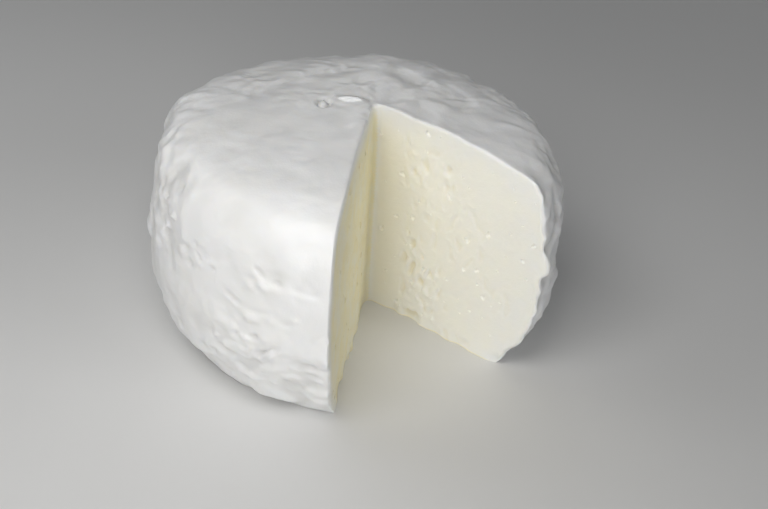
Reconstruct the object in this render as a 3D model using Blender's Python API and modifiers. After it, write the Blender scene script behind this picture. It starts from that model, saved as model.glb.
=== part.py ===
"""A fresh goat cheese: a small white drum-shaped wheel with one wedge cut out of it.

Metres, +Z up. The wheel stands on its flat foot at z = 0 and its axis is the Z axis. An azimuth
runs from -Y, the front, towards +X. The missing wedge opens to the front and the right.
"""

import math

import bmesh
import bpy
from mathutils import Vector, noise

# The wheel's outline, turned about Z: a superellipse over the widest ring, an undercut below it
RADIUS = 0.065
HEIGHT = 0.0739
WIDEST_HEIGHT = 0.0335
FOOT_RADIUS = 0.0518
SHOULDER_POWER_OUT = 5.1
SHOULDER_POWER_UP = 4.9
UNDERCUT_POWER = 2.4

# The missing wedge: the place on the top where its two cuts meet, and their azimuths in degrees
CUT_TIP = (0.0029, 0.01025)
LEFT_CUT_AZIMUTH = -6.6
RIGHT_CUT_AZIMUTH = 53.7
TIP_ROUNDING = 0.0018
WEDGE_MARGIN = 0.005

# The cuts lean: level moves at the foot, at the tip and at the outer end of each cut
LEAN_TIP = Vector((0.0026, 0.0008, 0.0))
LEAN_LEFT = Vector((0.0018, -0.0001, 0.0))
LEAN_RIGHT = Vector((0.0005, 0.0007, 0.0))
LEAN_LENGTH = 0.058
LEAN_LEFT_START = 0.055
FLARE_SHARE = 0.45
FLARE_HEIGHT = 0.006

# A cut is slightly wavy, and the curd is chipped along its foot
CUT_WAVE_LENGTH = 0.022
CUT_WAVE_DEPTH = 0.0005
CHIP_LENGTH = 0.005
CHIP_HEIGHT = 0.005
CHIP_DEPTH = 0.0016
CHIP_BIAS = 0.2
TIP_CALM = 0.012

# The skin: broad lumps all over, and flat folds of curd round the lower side, calmer at the front left
LUMP_LENGTH = 0.034
LUMP_DEPTH = 0.0008
FOLD_LENGTH = 0.024
FOLD_HEIGHT = 0.0085
FOLD_DEPTH = 0.0016
FOLD_SHARPNESS = 0.6
FOLD_TOP = 0.052
FOLD_FADE = 0.020
CALM_AZIMUTH = -50.0
CALM_SHARE = 0.10

# The foot stays flat. Its rim is ragged, and stands in or out: azimuth, half length and move
FOOT_CALM = 0.006
FOOT_RAGGED = 0.0009
FOOT_MARKS = (
    (-22.0, 0.0040, -0.0007),
    (-7.0, 0.0060, 0.0012),
)

# Broad rises of the whole form: azimuth, radius, height, half size and rise
SWELLS = (
    (-86.0, 0.064, 0.055, 0.012, -0.0014),
    (-109.0, 0.060, 0.066, 0.011, 0.0009),
    (-141.0, 0.056, 0.070, 0.018, -0.0011),
    (-164.0, 0.054, 0.070, 0.018, -0.0011),
    (154.0, 0.055, 0.069, 0.009, 0.0005),
    (113.0, 0.059, 0.067, 0.016, -0.0012),
    (95.0, 0.063, 0.061, 0.012, -0.0009),
    (56.0, 0.0455, 0.0725, 0.010, -0.0020),
    (61.5, 0.0600, 0.0690, 0.0055, 0.0019),
    (62.0, 0.0625, 0.0585, 0.008, -0.0017),
    (-15.0, 0.0555, 0.0045, 0.008, 0.0005),
    (-42.0, 0.0550, 0.0050, 0.013, -0.0007),
)

# Knotted curd on the right, the back and the far left, and the soft noise that bends its pattern
KNOT_LENGTH = 0.0085
KNOT_HEIGHT = 0.0058
KNOT_DEPTH = 0.0016
KNOT_SHARPNESS = 0.55
KNOT_MEAN = 0.42
KNOT_TOP = 0.066
KNOT_FADE = 0.030
KNOT_START = 55.0
KNOT_FULL = 110.0
KNOT_PATCHES = (-0.35, 0.15)
KNOT_SHIFT = Vector((3.0, 3.0, 3.0))
PATCH_SHIFT = Vector((13.0, 13.0, 13.0))
BEND_LENGTH = 0.012
BEND = 0.0022
BEND_SHIFTS = (20.0, 40.0, 60.0)

# Single marks on the side: azimuth, height, half length, half height and rise, and the slant in degrees
MARKS = (
    (-21.3, 0.0515, 0.0040, 0.0014, -0.0006, -22.0),
    (-27.3, 0.0402, 0.0070, 0.0013, -0.0006, -10.0),
    (-19.9, 0.0269, 0.0045, 0.0014, -0.0012, 36.0),
    (-10.5, 0.0243, 0.0050, 0.0013, -0.0005, -12.0),
    (-59.0, 0.0510, 0.0140, 0.0030, -0.0008, 112.0),
    (-65.5, 0.0470, 0.0130, 0.0022, 0.0006, 105.0),
    (-75.5, 0.0664, 0.0070, 0.0018, 0.0010, -30.0),
)

# How finely the wheel and the wedge are divided
TURN_STEPS = 108
OUTLINE_SAMPLES = 600
TOP_RINGS = 7
SHOULDER_RINGS = 7
SIDE_RINGS = 23
TOP_SHARE = 0.72
SHOULDER_SHARE = 0.975
TIP_STEPS = 3
CUT_CELL = 0.0034
MERGE_DISTANCE = 0.00001
FLAT_ANGLE = 0.01

SKIN_COLOUR = (0.86, 0.86, 0.84)
SKIN_ROUGHNESS = 0.42
PASTE_COLOUR = (0.86, 0.84, 0.70)
PASTE_ROUGHNESS = 0.6


def clear_scene():
    """Remove every object of the scene that the script starts in."""
    for old in list(bpy.data.objects):
        bpy.data.objects.remove(old)


def new_collection(name):
    """A collection in the scene."""
    collection = bpy.data.collections.new(name)
    bpy.context.scene.collection.children.link(collection)
    return collection


def new_material(name, colour, roughness):
    """A plain Principled material."""
    material = bpy.data.materials.new(name)
    material.use_nodes = True
    shader = material.node_tree.nodes["Principled BSDF"]
    shader.inputs["Base Color"].default_value = (*colour, 1.0)
    shader.inputs["Roughness"].default_value = roughness
    shader.inputs["Metallic"].default_value = 0.0
    return material


def smooth_step(value, low, high):
    """0 below low, 1 above high and an even S between them."""
    share = min(1.0, max(0.0, (value - low) / (high - low)))
    return share * share * (3.0 - 2.0 * share)


def evaluated_mesh(source):
    """A welded mesh of an object as its modifiers shape it. The object itself goes."""
    graph = bpy.context.evaluated_depsgraph_get()
    mesh = bpy.data.meshes.new_from_object(source.evaluated_get(graph))
    bpy.data.objects.remove(source)
    shape = bmesh.new()
    shape.from_mesh(mesh)
    bmesh.ops.remove_doubles(shape, verts=shape.verts, dist=MERGE_DISTANCE)
    shape.to_mesh(mesh)
    shape.free()
    return mesh


def outline_point(share):
    """Radius and height on the outline: 0 is the top's centre, 1 the widest ring and 2 the foot."""
    if share < 1.0:
        angle = math.pi / 2.0 * (1.0 - share)
        out = max(0.0, math.cos(angle)) ** (2.0 / SHOULDER_POWER_OUT)
        up = math.sin(angle) ** (2.0 / SHOULDER_POWER_UP)
        return RADIUS * out, WIDEST_HEIGHT + (HEIGHT - WIDEST_HEIGHT) * up
    down = share - 1.0
    inset = (RADIUS - FOOT_RADIUS) * down**UNDERCUT_POWER
    return RADIUS - inset, WIDEST_HEIGHT * (1.0 - down)


def even_stretch(points, count):
    """count + 1 points at even distances along a line through many points."""
    lengths = [0.0]
    for start, end in zip(points, points[1:]):
        lengths.append(lengths[-1] + math.dist(start, end))
    stretch = []
    place = 0
    for step in range(count + 1):
        wanted = lengths[-1] * step / count
        while place < len(points) - 2 and lengths[place + 1] < wanted:
            place += 1
        share = (wanted - lengths[place]) / (lengths[place + 1] - lengths[place])
        start, end = points[place], points[place + 1]
        stretch.append((start[0] + (end[0] - start[0]) * share, start[1] + (end[1] - start[1]) * share))
    return stretch


def wheel_outline():
    """The outline from the top's centre down to the foot and in to the axis."""
    fine = [outline_point(2.0 * i / OUTLINE_SAMPLES) for i in range(OUTLINE_SAMPLES + 1)]
    shoulder = next(i for i, point in enumerate(fine) if point[0] > TOP_SHARE * RADIUS)
    side = next(i for i, point in enumerate(fine) if point[0] > SHOULDER_SHARE * RADIUS)
    outline = even_stretch(fine[: shoulder + 1], TOP_RINGS)
    outline += even_stretch(fine[shoulder : side + 1], SHOULDER_RINGS)[1:]
    outline += even_stretch(fine[side:], SIDE_RINGS)[1:]
    return outline + [(0.0, 0.0)]


def turned_wheel():
    """The smooth wheel: its outline, turned about Z by a Screw modifier."""
    outline = wheel_outline()
    mesh = bpy.data.meshes.new("outline")
    edges = [(i, i + 1) for i in range(len(outline) - 1)]
    mesh.from_pydata([(radius, 0.0, height) for radius, height in outline], edges, [])
    turner = bpy.data.objects.new("outline", mesh)
    bpy.context.scene.collection.objects.link(turner)
    screw = turner.modifiers.new("turn", "SCREW")
    screw.axis = "Z"
    screw.steps = TURN_STEPS
    screw.render_steps = TURN_STEPS
    screw.use_merge_vertices = True
    screw.merge_threshold = MERGE_DISTANCE
    return evaluated_mesh(turner)


def level_direction(azimuth):
    """The level direction of an azimuth in degrees."""
    angle = math.radians(azimuth)
    return Vector((math.sin(angle), -math.cos(angle), 0.0))


def azimuth_of(point):
    """Degrees from the front, -Y, towards +X."""
    return math.degrees(math.atan2(point.x, -point.y))


def lumps(point):
    """Broad soft unevenness of the whole wheel."""
    return LUMP_DEPTH * noise.noise(point / LUMP_LENGTH)


def folds(point):
    """Flat lumps of curd with sharp creases between them."""
    stretched = Vector((point.x / FOLD_LENGTH, point.y / FOLD_LENGTH, point.z / FOLD_HEIGHT))
    swell = abs(noise.noise(stretched)) ** FOLD_SHARPNESS - 0.5
    reach = 1.0 - smooth_step(point.z, FOLD_TOP - FOLD_FADE, FOLD_TOP)
    turn = math.radians(azimuth_of(point) - CALM_AZIMUTH)
    share = CALM_SHARE + (1.0 - CALM_SHARE) * (0.5 - 0.5 * math.cos(turn))
    return FOLD_DEPTH * swell * reach * share


def marks(point):
    """The single marks on the side."""
    rise = 0.0
    for azimuth, height, half_length, half_height, highest, slant in MARKS:
        along = math.radians(azimuth_of(point) - azimuth) * RADIUS
        up = point.z - height
        turn = math.radians(slant)
        length_share = (along * math.cos(turn) + up * math.sin(turn)) / half_length
        height_share = (up * math.cos(turn) - along * math.sin(turn)) / half_height
        rise += highest * math.exp(-(length_share**2) - height_share**2)
    return rise


def swells(point):
    """Broad soft rises and falls of the whole form."""
    rise = 0.0
    for azimuth, radius, height, half_size, highest in SWELLS:
        centre = level_direction(azimuth) * radius + Vector((0.0, 0.0, height))
        rise += highest * math.exp(-(((point - centre).length / half_size) ** 2))
    return rise


def knots(point):
    """Knotted curd with sharp creases, in patches away from the calm front."""
    shifts = [noise.noise(point / BEND_LENGTH + Vector((shift,) * 3)) for shift in BEND_SHIFTS]
    bent = point + BEND * Vector(shifts)
    place = Vector((bent.x / KNOT_LENGTH, bent.y / KNOT_LENGTH, bent.z / KNOT_HEIGHT))
    swell = abs(noise.noise(place + KNOT_SHIFT)) ** KNOT_SHARPNESS - KNOT_MEAN
    reach = 1.0 - smooth_step(point.z, KNOT_TOP - KNOT_FADE, KNOT_TOP)
    patches = smooth_step(noise.noise(point / LUMP_LENGTH + PATCH_SHIFT), *KNOT_PATCHES)
    away = abs((azimuth_of(point) - CALM_AZIMUTH + 180.0) % 360.0 - 180.0)
    return KNOT_DEPTH * swell * reach * patches * smooth_step(away, KNOT_START, KNOT_FULL)


def foot_move(point):
    """How far the rim of the foot stands out."""
    level = Vector((point.x, point.y, 0.0))
    out = FOOT_RAGGED * noise.noise(level / CHIP_LENGTH)
    for azimuth, half_length, highest in FOOT_MARKS:
        along = math.radians(azimuth_of(point) - azimuth) * RADIUS
        out += highest * math.exp(-((along / half_length) ** 2))
    return level.normalized() * out


def skin_move(point, normal):
    """How the relief moves a point of the smooth skin. The underside stays flat."""
    above_foot = smooth_step(point.z, 0.0, FOOT_CALM)
    relief = lumps(point) + folds(point) + swells(point) + knots(point) + marks(point)
    return normal * above_foot * relief + foot_move(point) * (1.0 - above_foot)


def carve_skin(mesh):
    """Give the turned wheel its relief."""
    shape = bmesh.new()
    shape.from_mesh(mesh)
    shape.normal_update()
    moves = [skin_move(vertex.co, vertex.normal) for vertex in shape.verts]
    for vertex, move in zip(shape.verts, moves):
        vertex.co += move
    shape.to_mesh(mesh)
    shape.free()
    mesh.shade_smooth()


def wedge_outline():
    """The missing wedge from above: a rounded tip, and two corners outside the wheel."""
    tip = Vector((*CUT_TIP, 0.0))
    half_angle = math.radians(RIGHT_CUT_AZIMUTH - LEFT_CUT_AZIMUTH) / 2.0
    middle = (LEFT_CUT_AZIMUTH + RIGHT_CUT_AZIMUTH) / 2.0
    centre = tip + level_direction(middle) * TIP_ROUNDING / math.sin(half_angle)
    back = middle + 180.0
    sweep = 90.0 - math.degrees(half_angle)
    outline = []
    for step in range(TIP_STEPS + 1):
        turn = back + sweep * (1.0 - 2.0 * step / TIP_STEPS)
        outline.append(centre + level_direction(turn) * TIP_ROUNDING)
    reach = (RADIUS + tip.length) / math.cos(half_angle) + WEDGE_MARGIN
    outline.append(tip + level_direction(RIGHT_CUT_AZIMUTH) * reach)
    outline.append(tip + level_direction(LEFT_CUT_AZIMUTH) * reach)
    return outline


def cut_faces():
    """For each cut: its level direction away from the tip, and the way out of the wedge through it."""
    for azimuth, side in ((LEFT_CUT_AZIMUTH, -90.0), (RIGHT_CUT_AZIMUTH, 90.0)):
        yield level_direction(azimuth), level_direction(azimuth + side)


def cut_move(point, distance):
    """How far a cut goes beyond its plane into the cheese: soft waves, and chips along the foot."""
    calm = smooth_step(distance, 0.0, TIP_CALM)
    wave = CUT_WAVE_DEPTH * noise.noise(point / CUT_WAVE_LENGTH)
    chip = CHIP_DEPTH * max(0.0, CHIP_BIAS + noise.noise(Vector((point.x, point.y, 0.0)) / CHIP_LENGTH))
    low = 1.0 - smooth_step(point.z, 0.0, CHIP_HEIGHT)
    return calm * (wave + chip * low)


def cut_lean(point, on_left):
    """How the lean of the cuts moves a point on one of them or round the tip."""
    away = math.dist(point.xy, CUT_TIP)
    outer = smooth_step(away, 0.0, LEAN_LENGTH)
    down = max(0.0, HEIGHT - point.z)
    flare = FLARE_SHARE * (1.0 - math.exp(-down / FLARE_HEIGHT))
    move = LEAN_TIP * (1.0 - outer) * (flare + (1.0 - FLARE_SHARE) * down / HEIGHT)
    if on_left:
        return move + LEAN_LEFT * outer * max(0.0, 1.0 - point.z / LEAN_LEFT_START)
    return move + LEAN_RIGHT * outer * down / HEIGHT


def divide_edges(shape, edges):
    """Divide edges, which are all about as long, and the faces between them."""
    cuts = round(edges[0].calc_length() / CUT_CELL) - 1
    bmesh.ops.subdivide_edges(shape, edges=edges, cuts=cuts, use_grid_fill=True)


def carve_cuts(mesh):
    """Raise the wedge to the wheel's height, divide its faces and make its two cuts uneven."""
    shape = bmesh.new()
    shape.from_mesh(mesh)
    bmesh.ops.translate(shape, verts=shape.verts, vec=(0.0, 0.0, HEIGHT / 2.0))
    bmesh.ops.dissolve_limit(shape, angle_limit=FLAT_ANGLE, verts=shape.verts, edges=shape.edges)
    for upright in (False, True):
        long_edges = []
        for edge in shape.edges:
            rise = abs(edge.verts[0].co.z - edge.verts[1].co.z)
            if edge.calc_length() > RADIUS and (rise > RADIUS) == upright:
                long_edges.append(edge)
        divide_edges(shape, long_edges)
    tip = Vector((*CUT_TIP, 0.0))
    (left_along, left_out), (right_along, right_out) = cut_faces()
    moves = []
    for vertex in shape.verts:
        point = vertex.co
        reach = point - tip
        if abs(reach.dot(left_out)) < MERGE_DISTANCE:
            moves.append(cut_lean(point, True) + left_out * cut_move(point, reach.dot(left_along)))
        elif abs(reach.dot(right_out)) < MERGE_DISTANCE:
            moves.append(cut_lean(point, False) + right_out * cut_move(point, reach.dot(right_along)))
        elif reach.xy.length < TIP_CALM:
            moves.append(cut_lean(point, True))
        else:
            moves.append(Vector((0.0, 0.0, 0.0)))
    for vertex, move in zip(shape.verts, moves):
        vertex.co += move
    bmesh.ops.recalc_face_normals(shape, faces=shape.faces)
    shape.to_mesh(mesh)
    shape.free()


def missing_wedge(cutters):
    """The wedge to take out, taller and longer than the wheel, as a hidden cutter."""
    curve = bpy.data.curves.new("wedge_outline", "CURVE")
    curve.dimensions = "2D"
    curve.fill_mode = "BOTH"
    curve.extrude = HEIGHT / 2.0 + WEDGE_MARGIN
    outline = wedge_outline()
    spline = curve.splines.new("POLY")
    spline.points.add(len(outline) - 1)
    for point, corner in zip(spline.points, outline):
        point.co = (*corner, 1.0)
    spline.use_cyclic_u = True
    drawn = bpy.data.objects.new("wedge_outline", curve)
    bpy.context.scene.collection.objects.link(drawn)
    mesh = evaluated_mesh(drawn)
    carve_cuts(mesh)
    mesh.materials.clear()
    mesh.materials.append(new_material("cheese_paste", PASTE_COLOUR, PASTE_ROUGHNESS))
    wedge = bpy.data.objects.new("missing_wedge", mesh)
    wedge.hide_render = True
    wedge.display_type = "WIRE"
    cutters.objects.link(wedge)
    return wedge


def main():
    """Turn the wheel, give it its skin and cut the wedge out."""
    clear_scene()
    mesh = turned_wheel()
    carve_skin(mesh)
    mesh.materials.append(new_material("cheese_skin", SKIN_COLOUR, SKIN_ROUGHNESS))
    wheel = bpy.data.objects.new("goat_cheese", mesh)
    new_collection("goat_cheese").objects.link(wheel)
    cut = wheel.modifiers.new("cut", "BOOLEAN")
    cut.operation = "DIFFERENCE"
    cut.solver = "EXACT"
    cut.material_mode = "TRANSFER"
    cut.object = missing_wedge(new_collection("cutters"))


main()
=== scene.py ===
"""The looks of a fresh goat cheese: a white drum with one wedge cut out of it.

Metres, +Z up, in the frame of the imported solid. The cheese is one closed fine mesh: the skin is a
grid round the side and a filled disc on the top, the two cuts are one sheet that bends round the
tip of the missing wedge, and the underside is flat. An azimuth runs from -Y, the front, to +X.
"""

import math
import random

import bpy
import numpy as np
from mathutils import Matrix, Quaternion, Vector, geometry, kdtree, noise


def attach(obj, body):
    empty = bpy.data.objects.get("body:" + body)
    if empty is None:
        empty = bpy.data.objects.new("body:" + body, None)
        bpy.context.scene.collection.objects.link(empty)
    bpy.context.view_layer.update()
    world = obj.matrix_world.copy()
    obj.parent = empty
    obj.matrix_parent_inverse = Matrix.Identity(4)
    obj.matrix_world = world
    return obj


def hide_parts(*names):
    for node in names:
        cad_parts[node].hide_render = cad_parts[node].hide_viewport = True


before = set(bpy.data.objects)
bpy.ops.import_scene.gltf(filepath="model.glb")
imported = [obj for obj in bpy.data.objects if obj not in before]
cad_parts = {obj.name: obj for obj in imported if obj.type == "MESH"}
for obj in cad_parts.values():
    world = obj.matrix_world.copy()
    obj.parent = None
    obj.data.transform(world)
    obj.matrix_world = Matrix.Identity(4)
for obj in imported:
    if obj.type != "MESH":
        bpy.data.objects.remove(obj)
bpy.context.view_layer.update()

# The wheel's outline, as in the solid: a superellipse over the widest ring, an undercut below it
RADIUS = 0.065
HEIGHT = 0.0739
WIDEST_HEIGHT = 0.0335
FOOT_RADIUS = 0.0518
SHOULDER_POWER_OUT = 5.1
SHOULDER_POWER_UP = 4.9
UNDERCUT_POWER = 2.4

# The missing wedge: the place on the top where its two cuts meet, and their azimuths in degrees
CUT_TIP = np.array((0.0029, 0.01025))
LEFT_CUT_AZIMUTH = -6.2
RIGHT_CUT_AZIMUTH = 53.7
TIP_ROUNDING = 0.0018

# The cuts lean: level moves at the foot, at the tip and at the outer end of each cut
LEAN_TIP = (0.0026, 0.0008)
LEAN_LEFT = (0.0018, -0.0001)
LEAN_RIGHT = (0.0005, 0.0007)
LEAN_LENGTH = 0.058
LEAN_LEFT_START = 0.055
FLARE_SHARE = 0.45
FLARE_HEIGHT = 0.006
LEAN_REACH = 0.016

# The rounding of the edges between the skin and the cuts, finer rows of points beside them, and a
# low lip on the skin there
EDGE_ROUNDING = 0.0009
EDGE_ROWS = (0.00025, 0.00052)
EDGE_CLEAR = 0.9
EDGE_FOOT = 0.004
EDGE_LIP_RISE = 0.0003
EDGE_LIP_WIDTH = 0.0022

# How fine the mesh is
OUTLINE_SAMPLES = 2000
TOP_SHARE = 0.72
RING_SPACING = 0.0007
FRONT_SPACING = 0.0007
REST_SPACING = 0.00095
FRONT_END = -125.0
TOP_CELL = 0.0009
CUT_CELL = 0.00072
ARC_STEP = 0.0004
BASE_CELL = 0.006
NEAR_EDGE = 0.55
FLAT = 0.000001
FILL_TOLERANCE = 1e-9

# Broad lumps and flat folds of curd, as in the solid
LUMP_LENGTH = 0.034
LUMP_DEPTH = 0.0008
FOLD_LENGTH = 0.024
FOLD_HEIGHT = 0.0085
FOLD_DEPTH = 0.0016
FOLD_SHARPNESS = 0.6
FOLD_TOP = 0.052
FOLD_FADE = 0.020
CALM_AZIMUTH = -50.0
CALM_SHARE = 0.10
FOOT_CALM = 0.006
FOOT_RAGGED = 0.0009

# Where the foot stands out or in: azimuth, half length and move
FOOT_MARKS = (
    (-22.0, 0.0040, -0.0007),
    (-7.0, 0.0060, 0.0012),
)

# Broad rises of the whole form, as in the solid: azimuth, radius, height, half size and rise
SWELLS = (
    (-86.0, 0.064, 0.055, 0.012, -0.0014),
    (-109.0, 0.060, 0.066, 0.011, 0.0009),
    (-141.0, 0.056, 0.070, 0.018, -0.0011),
    (-164.0, 0.054, 0.070, 0.018, -0.0011),
    (154.0, 0.055, 0.069, 0.009, 0.0005),
    (113.0, 0.059, 0.067, 0.016, -0.0012),
    (95.0, 0.063, 0.061, 0.012, -0.0009),
    (56.0, 0.0455, 0.0725, 0.010, -0.0020),
    (61.5, 0.0600, 0.0690, 0.0055, 0.0019),
    (62.0, 0.0625, 0.0585, 0.008, -0.0017),
    (-15.0, 0.0555, 0.0045, 0.008, 0.0005),
    (-42.0, 0.0550, 0.0050, 0.013, -0.0007),
)

# Short bent grooves on the side: azimuth and height at both ends, sag, half width and depth
GROOVES = (
    (-24.5, 0.0535, -18.0, 0.0503, 0.0010, 0.0009, 0.00080),
    (-14.5, 0.0496, -8.0, 0.0500, 0.0004, 0.0012, 0.00030),
    (-33.0, 0.0420, -20.5, 0.0397, 0.0010, 0.0009, 0.00080),
    (-23.0, 0.0240, -16.8, 0.0298, 0.0002, 0.0010, 0.00120),
    (-14.5, 0.0256, -6.5, 0.0236, 0.0004, 0.0009, 0.00045),
)
GROOVE_END = 0.22
GROOVE_WAVER = 0.0010
GROOVE_WAVER_SHIFT = 19.0
GROOVE_PATCHES = (0.65, 1.1)
GROOVE_PATCH_SHIFT = 21.0
GROOVE_LIP_SHARE = 0.35
GROOVE_LIP_BELOW = 1.8

# Single bumps and pits on the side: azimuth, height, half length, half height, rise and slant
SIDE_SPOTS = (
    (-19.0, 0.0522, 0.0034, 0.0022, -0.00060, 0.0),
    (-18.0, 0.0500, 0.0018, 0.0009, -0.00050, 0.0),
    (-26.0, 0.0496, 0.0013, 0.0009, -0.00050, 0.0),
    (-25.6, 0.0470, 0.0014, 0.0012, 0.00070, 0.0),
    (-23.2, 0.0493, 0.0012, 0.0014, 0.00060, 0.0),
    (-21.6, 0.0478, 0.0013, 0.0012, 0.00065, 0.0),
    (-23.6, 0.0468, 0.0008, 0.0009, -0.00045, 0.0),
    (-26.5, 0.0370, 0.0016, 0.0011, 0.00065, -20.0),
    (-23.8, 0.0366, 0.0015, 0.0011, 0.00060, -10.0),
    (-19.5, 0.0376, 0.0014, 0.0012, 0.00050, 0.0),
    (-15.5, 0.0377, 0.0014, 0.0010, -0.00045, 0.0),
    (-24.8, 0.0298, 0.0028, 0.0009, -0.00055, 4.0),
    (-19.2, 0.0258, 0.0040, 0.0011, 0.00085, 30.0),
    (-10.0, 0.0277, 0.0036, 0.0022, 0.00055, 0.0),
    (-8.5, 0.0199, 0.0026, 0.0009, -0.00055, -6.0),
    (-24.0, 0.0213, 0.0018, 0.0008, -0.00050, 0.0),
    (-33.0, 0.0233, 0.0012, 0.0015, 0.00070, 0.0),
    (-13.5, 0.0228, 0.0013, 0.0010, 0.00050, 0.0),
    (-6.5, 0.0088, 0.0050, 0.0030, 0.00110, 10.0),
    (-49.5, 0.0522, 0.0016, 0.0020, 0.00055, 0.0),
    (-48.0, 0.0490, 0.0018, 0.0011, -0.00050, 0.0),
    (-50.0, 0.0464, 0.0015, 0.0014, 0.00050, 0.0),
    (-41.5, 0.0535, 0.0014, 0.0011, 0.00040, 0.0),
    (-40.3, 0.0494, 0.0014, 0.0009, -0.00040, 0.0),
    (-41.8, 0.0466, 0.0013, 0.0011, 0.00040, 0.0),
    (-50.0, 0.0643, 0.0018, 0.0022, 0.00050, 0.0),
    (-75.5, 0.0664, 0.0070, 0.0018, 0.00100, -30.0),
    (-59.0, 0.0510, 0.0140, 0.0030, -0.00080, 112.0),
    (-65.5, 0.0470, 0.0130, 0.0022, 0.00060, 105.0),
    (-51.0, 0.0590, 0.0050, 0.0022, 0.00050, 100.0),
)

# Patches of small bumps and pits on the side: azimuth, height, spread round and up, and how many
MARK_PATCHES = (
    (-43.0, 0.0480, 0.0060, 0.0060, 10),
    (-60.0, 0.0560, 0.0090, 0.0100, 12),
    (-24.0, 0.0330, 0.0120, 0.0080, 12),
    (-30.0, 0.0170, 0.0240, 0.0080, 26),
    (-12.0, 0.0160, 0.0120, 0.0070, 16),
)
MARK_SIZE = (0.0007, 0.0017)
MARK_FLATNESS = (0.5, 0.95)
MARK_RISE = (0.00030, 0.00080)
MARK_SLANT = 30.0
MARK_SEED = 5

# Marks on the top: X, Y, half length along X, half width along Y and rise
TOP_MARKS = (
    (-0.0144, 0.0136, 0.0032, 0.0009, -0.00030),
    (-0.0218, 0.0294, 0.0026, 0.0020, 0.00045),
    (-0.0331, 0.0264, 0.0022, 0.0022, 0.00045),
    (-0.0044, 0.0355, 0.0022, 0.0014, 0.00035),
    (-0.0299, 0.0127, 0.0050, 0.0030, 0.00025),
    (0.0460, 0.0040, 0.0050, 0.0018, 0.00060),
    (-0.0166, -0.0312, 0.0036, 0.0014, -0.00018),
    (-0.0091, -0.0318, 0.0014, 0.0014, 0.00025),
    (0.0300, 0.0178, 0.0070, 0.0010, -0.00030),
    (-0.0500, 0.0110, 0.0030, 0.0050, 0.00050),
)

# The wet blister near the middle of the top, and the pit beside it with a bump in it
BLISTER_PLACE = (-0.0045, 0.0098)
BLISTER_HALF = (0.0064, 0.0040)
BLISTER_RISE = 0.0006
BLISTER_LEVEL = (0.0244, 0.0231)
CROWN_EDGE = (0.55, 1.20)
PIT_PLACE = (-0.0126, 0.0068)
PIT_HALF = (0.0024, 0.0032)
PIT_DEPTH = 0.0014
PIT_BUMP_HALF = (0.0013, 0.0020)
PIT_BUMP_RISE = 0.0017

# Knotted curd on the side and the back, in patches between the folds
KNOT_LENGTH = 0.0085
KNOT_HEIGHT = 0.0058
KNOT_DEPTH = 0.0016
KNOT_SHARPNESS = 0.55
KNOT_MEAN = 0.42
KNOT_TOP = 0.066
KNOT_FADE = 0.030
KNOT_START = 55.0
KNOT_FULL = 110.0
KNOT_SHIFT = 3.0
KNOT_PATCHES = (-0.35, 0.15)
KNOT_PATCH_SHIFT = 13.0

# A bend of all the curd's patterns
BEND_LENGTH = 0.012
BEND = 0.0022
BEND_SHIFTS = (20.0, 40.0, 60.0)

# Small lumps of curd with finer ones on them, in patches
CURD_LENGTH = 0.0042
CURD_DEPTH = 0.00115
CURD_SHIFT = 7.0
CURD_FINE = 0.40
CURD_FINE_SHIFT = 9.0
CURD_PATCHES = (-0.3, 0.3)
CURD_PATCH_LEAST = 0.35
CURD_PATCH_SHIFT = 17.0

# Shallow creases between the small lumps
CREASE_SHARE = 0.50
CREASE_LENGTH = 0.0080
CREASE_SHARPNESS = 0.7
CREASE_MEAN = 0.36
CREASE_SHIFT = 11.0

# Wider soft lumps under the small ones
WIDE_LENGTH = 0.0095
WIDE_DEPTH = 0.0016
WIDE_SPREAD = 0.75
WIDE_SHIFT = 23.0

# Where the curd shows: little on the front and the front half of the top, more low down and behind
CURD_CALM = 0.20
CURD_FRONT = -28.0
CURD_SIDE = (12.0, 44.0)
CURD_SIDE_SHARE = 0.85
CURD_OUTER = (0.72, 0.92)
CURD_LOW = (0.024, 0.046)
CURD_LOW_SHARE = 0.95
CURD_BACK = (-0.004, 0.014)
CURD_BACK_SHARE = 0.42

# A smooth place low on the left of the front: azimuth, height, half sizes and how calm
SMOOTH_AZIMUTH = -66.0
SMOOTH_HEIGHT = 0.027
SMOOTH_HALF = (26.0, 0.013)
SMOOTH_SHARE = 0.85

# Waves and chips of the cuts
CUT_WAVE_LENGTH = 0.022
CUT_WAVE_DEPTH = 0.0005
CHIP_LENGTH = 0.005
CHIP_HEIGHT = 0.005
CHIP_DEPTH = 0.0016
CHIP_BIAS = 0.2
TIP_CALM = 0.012

# Chips and crumbs along the foot of the left cut: distance from the tip, half length and depth
LEFT_CHIPS = (
    (0.0325, 0.0030, -0.0009),
    (0.0400, 0.0042, 0.0011),
    (0.0525, 0.0036, 0.0012),
)
SKIN_REACH = 0.004
CUT_REACH = 0.003
CORNER_SPREAD = 0.0004
CORNER_START = (0.046, 0.052)
CORNER_HEIGHT = 0.007

# Torn curd on the cuts: hollows and raised flakes, away from the skin and the tip
TEAR_LENGTH = 0.0030
TEAR_HEIGHT = 0.0048
TEAR_DEPTH = 0.0010
TEAR_EDGE = (0.10, 0.45)
FLAKE_LENGTH = 0.0020
FLAKE_HEIGHT = 0.0030
FLAKE_DEPTH = 0.00045
FLAKE_EDGE = (0.06, 0.30)
FLAKE_SHIFT = 4.0
TORN_PATCH = 0.016
TORN_PATCHES = (-0.2, 0.3)
TORN_PATCH_LEAST = 0.25
TORN_PATCH_SHIFT = 2.0
TORN_TIP = (0.007, 0.014)
TORN_FAR = (0.022, 0.036)
TORN_FAR_SHARE = 0.25
TORN_SKIN = (0.003, 0.012)
LEFT_TORN_SHARE = 0.35

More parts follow.
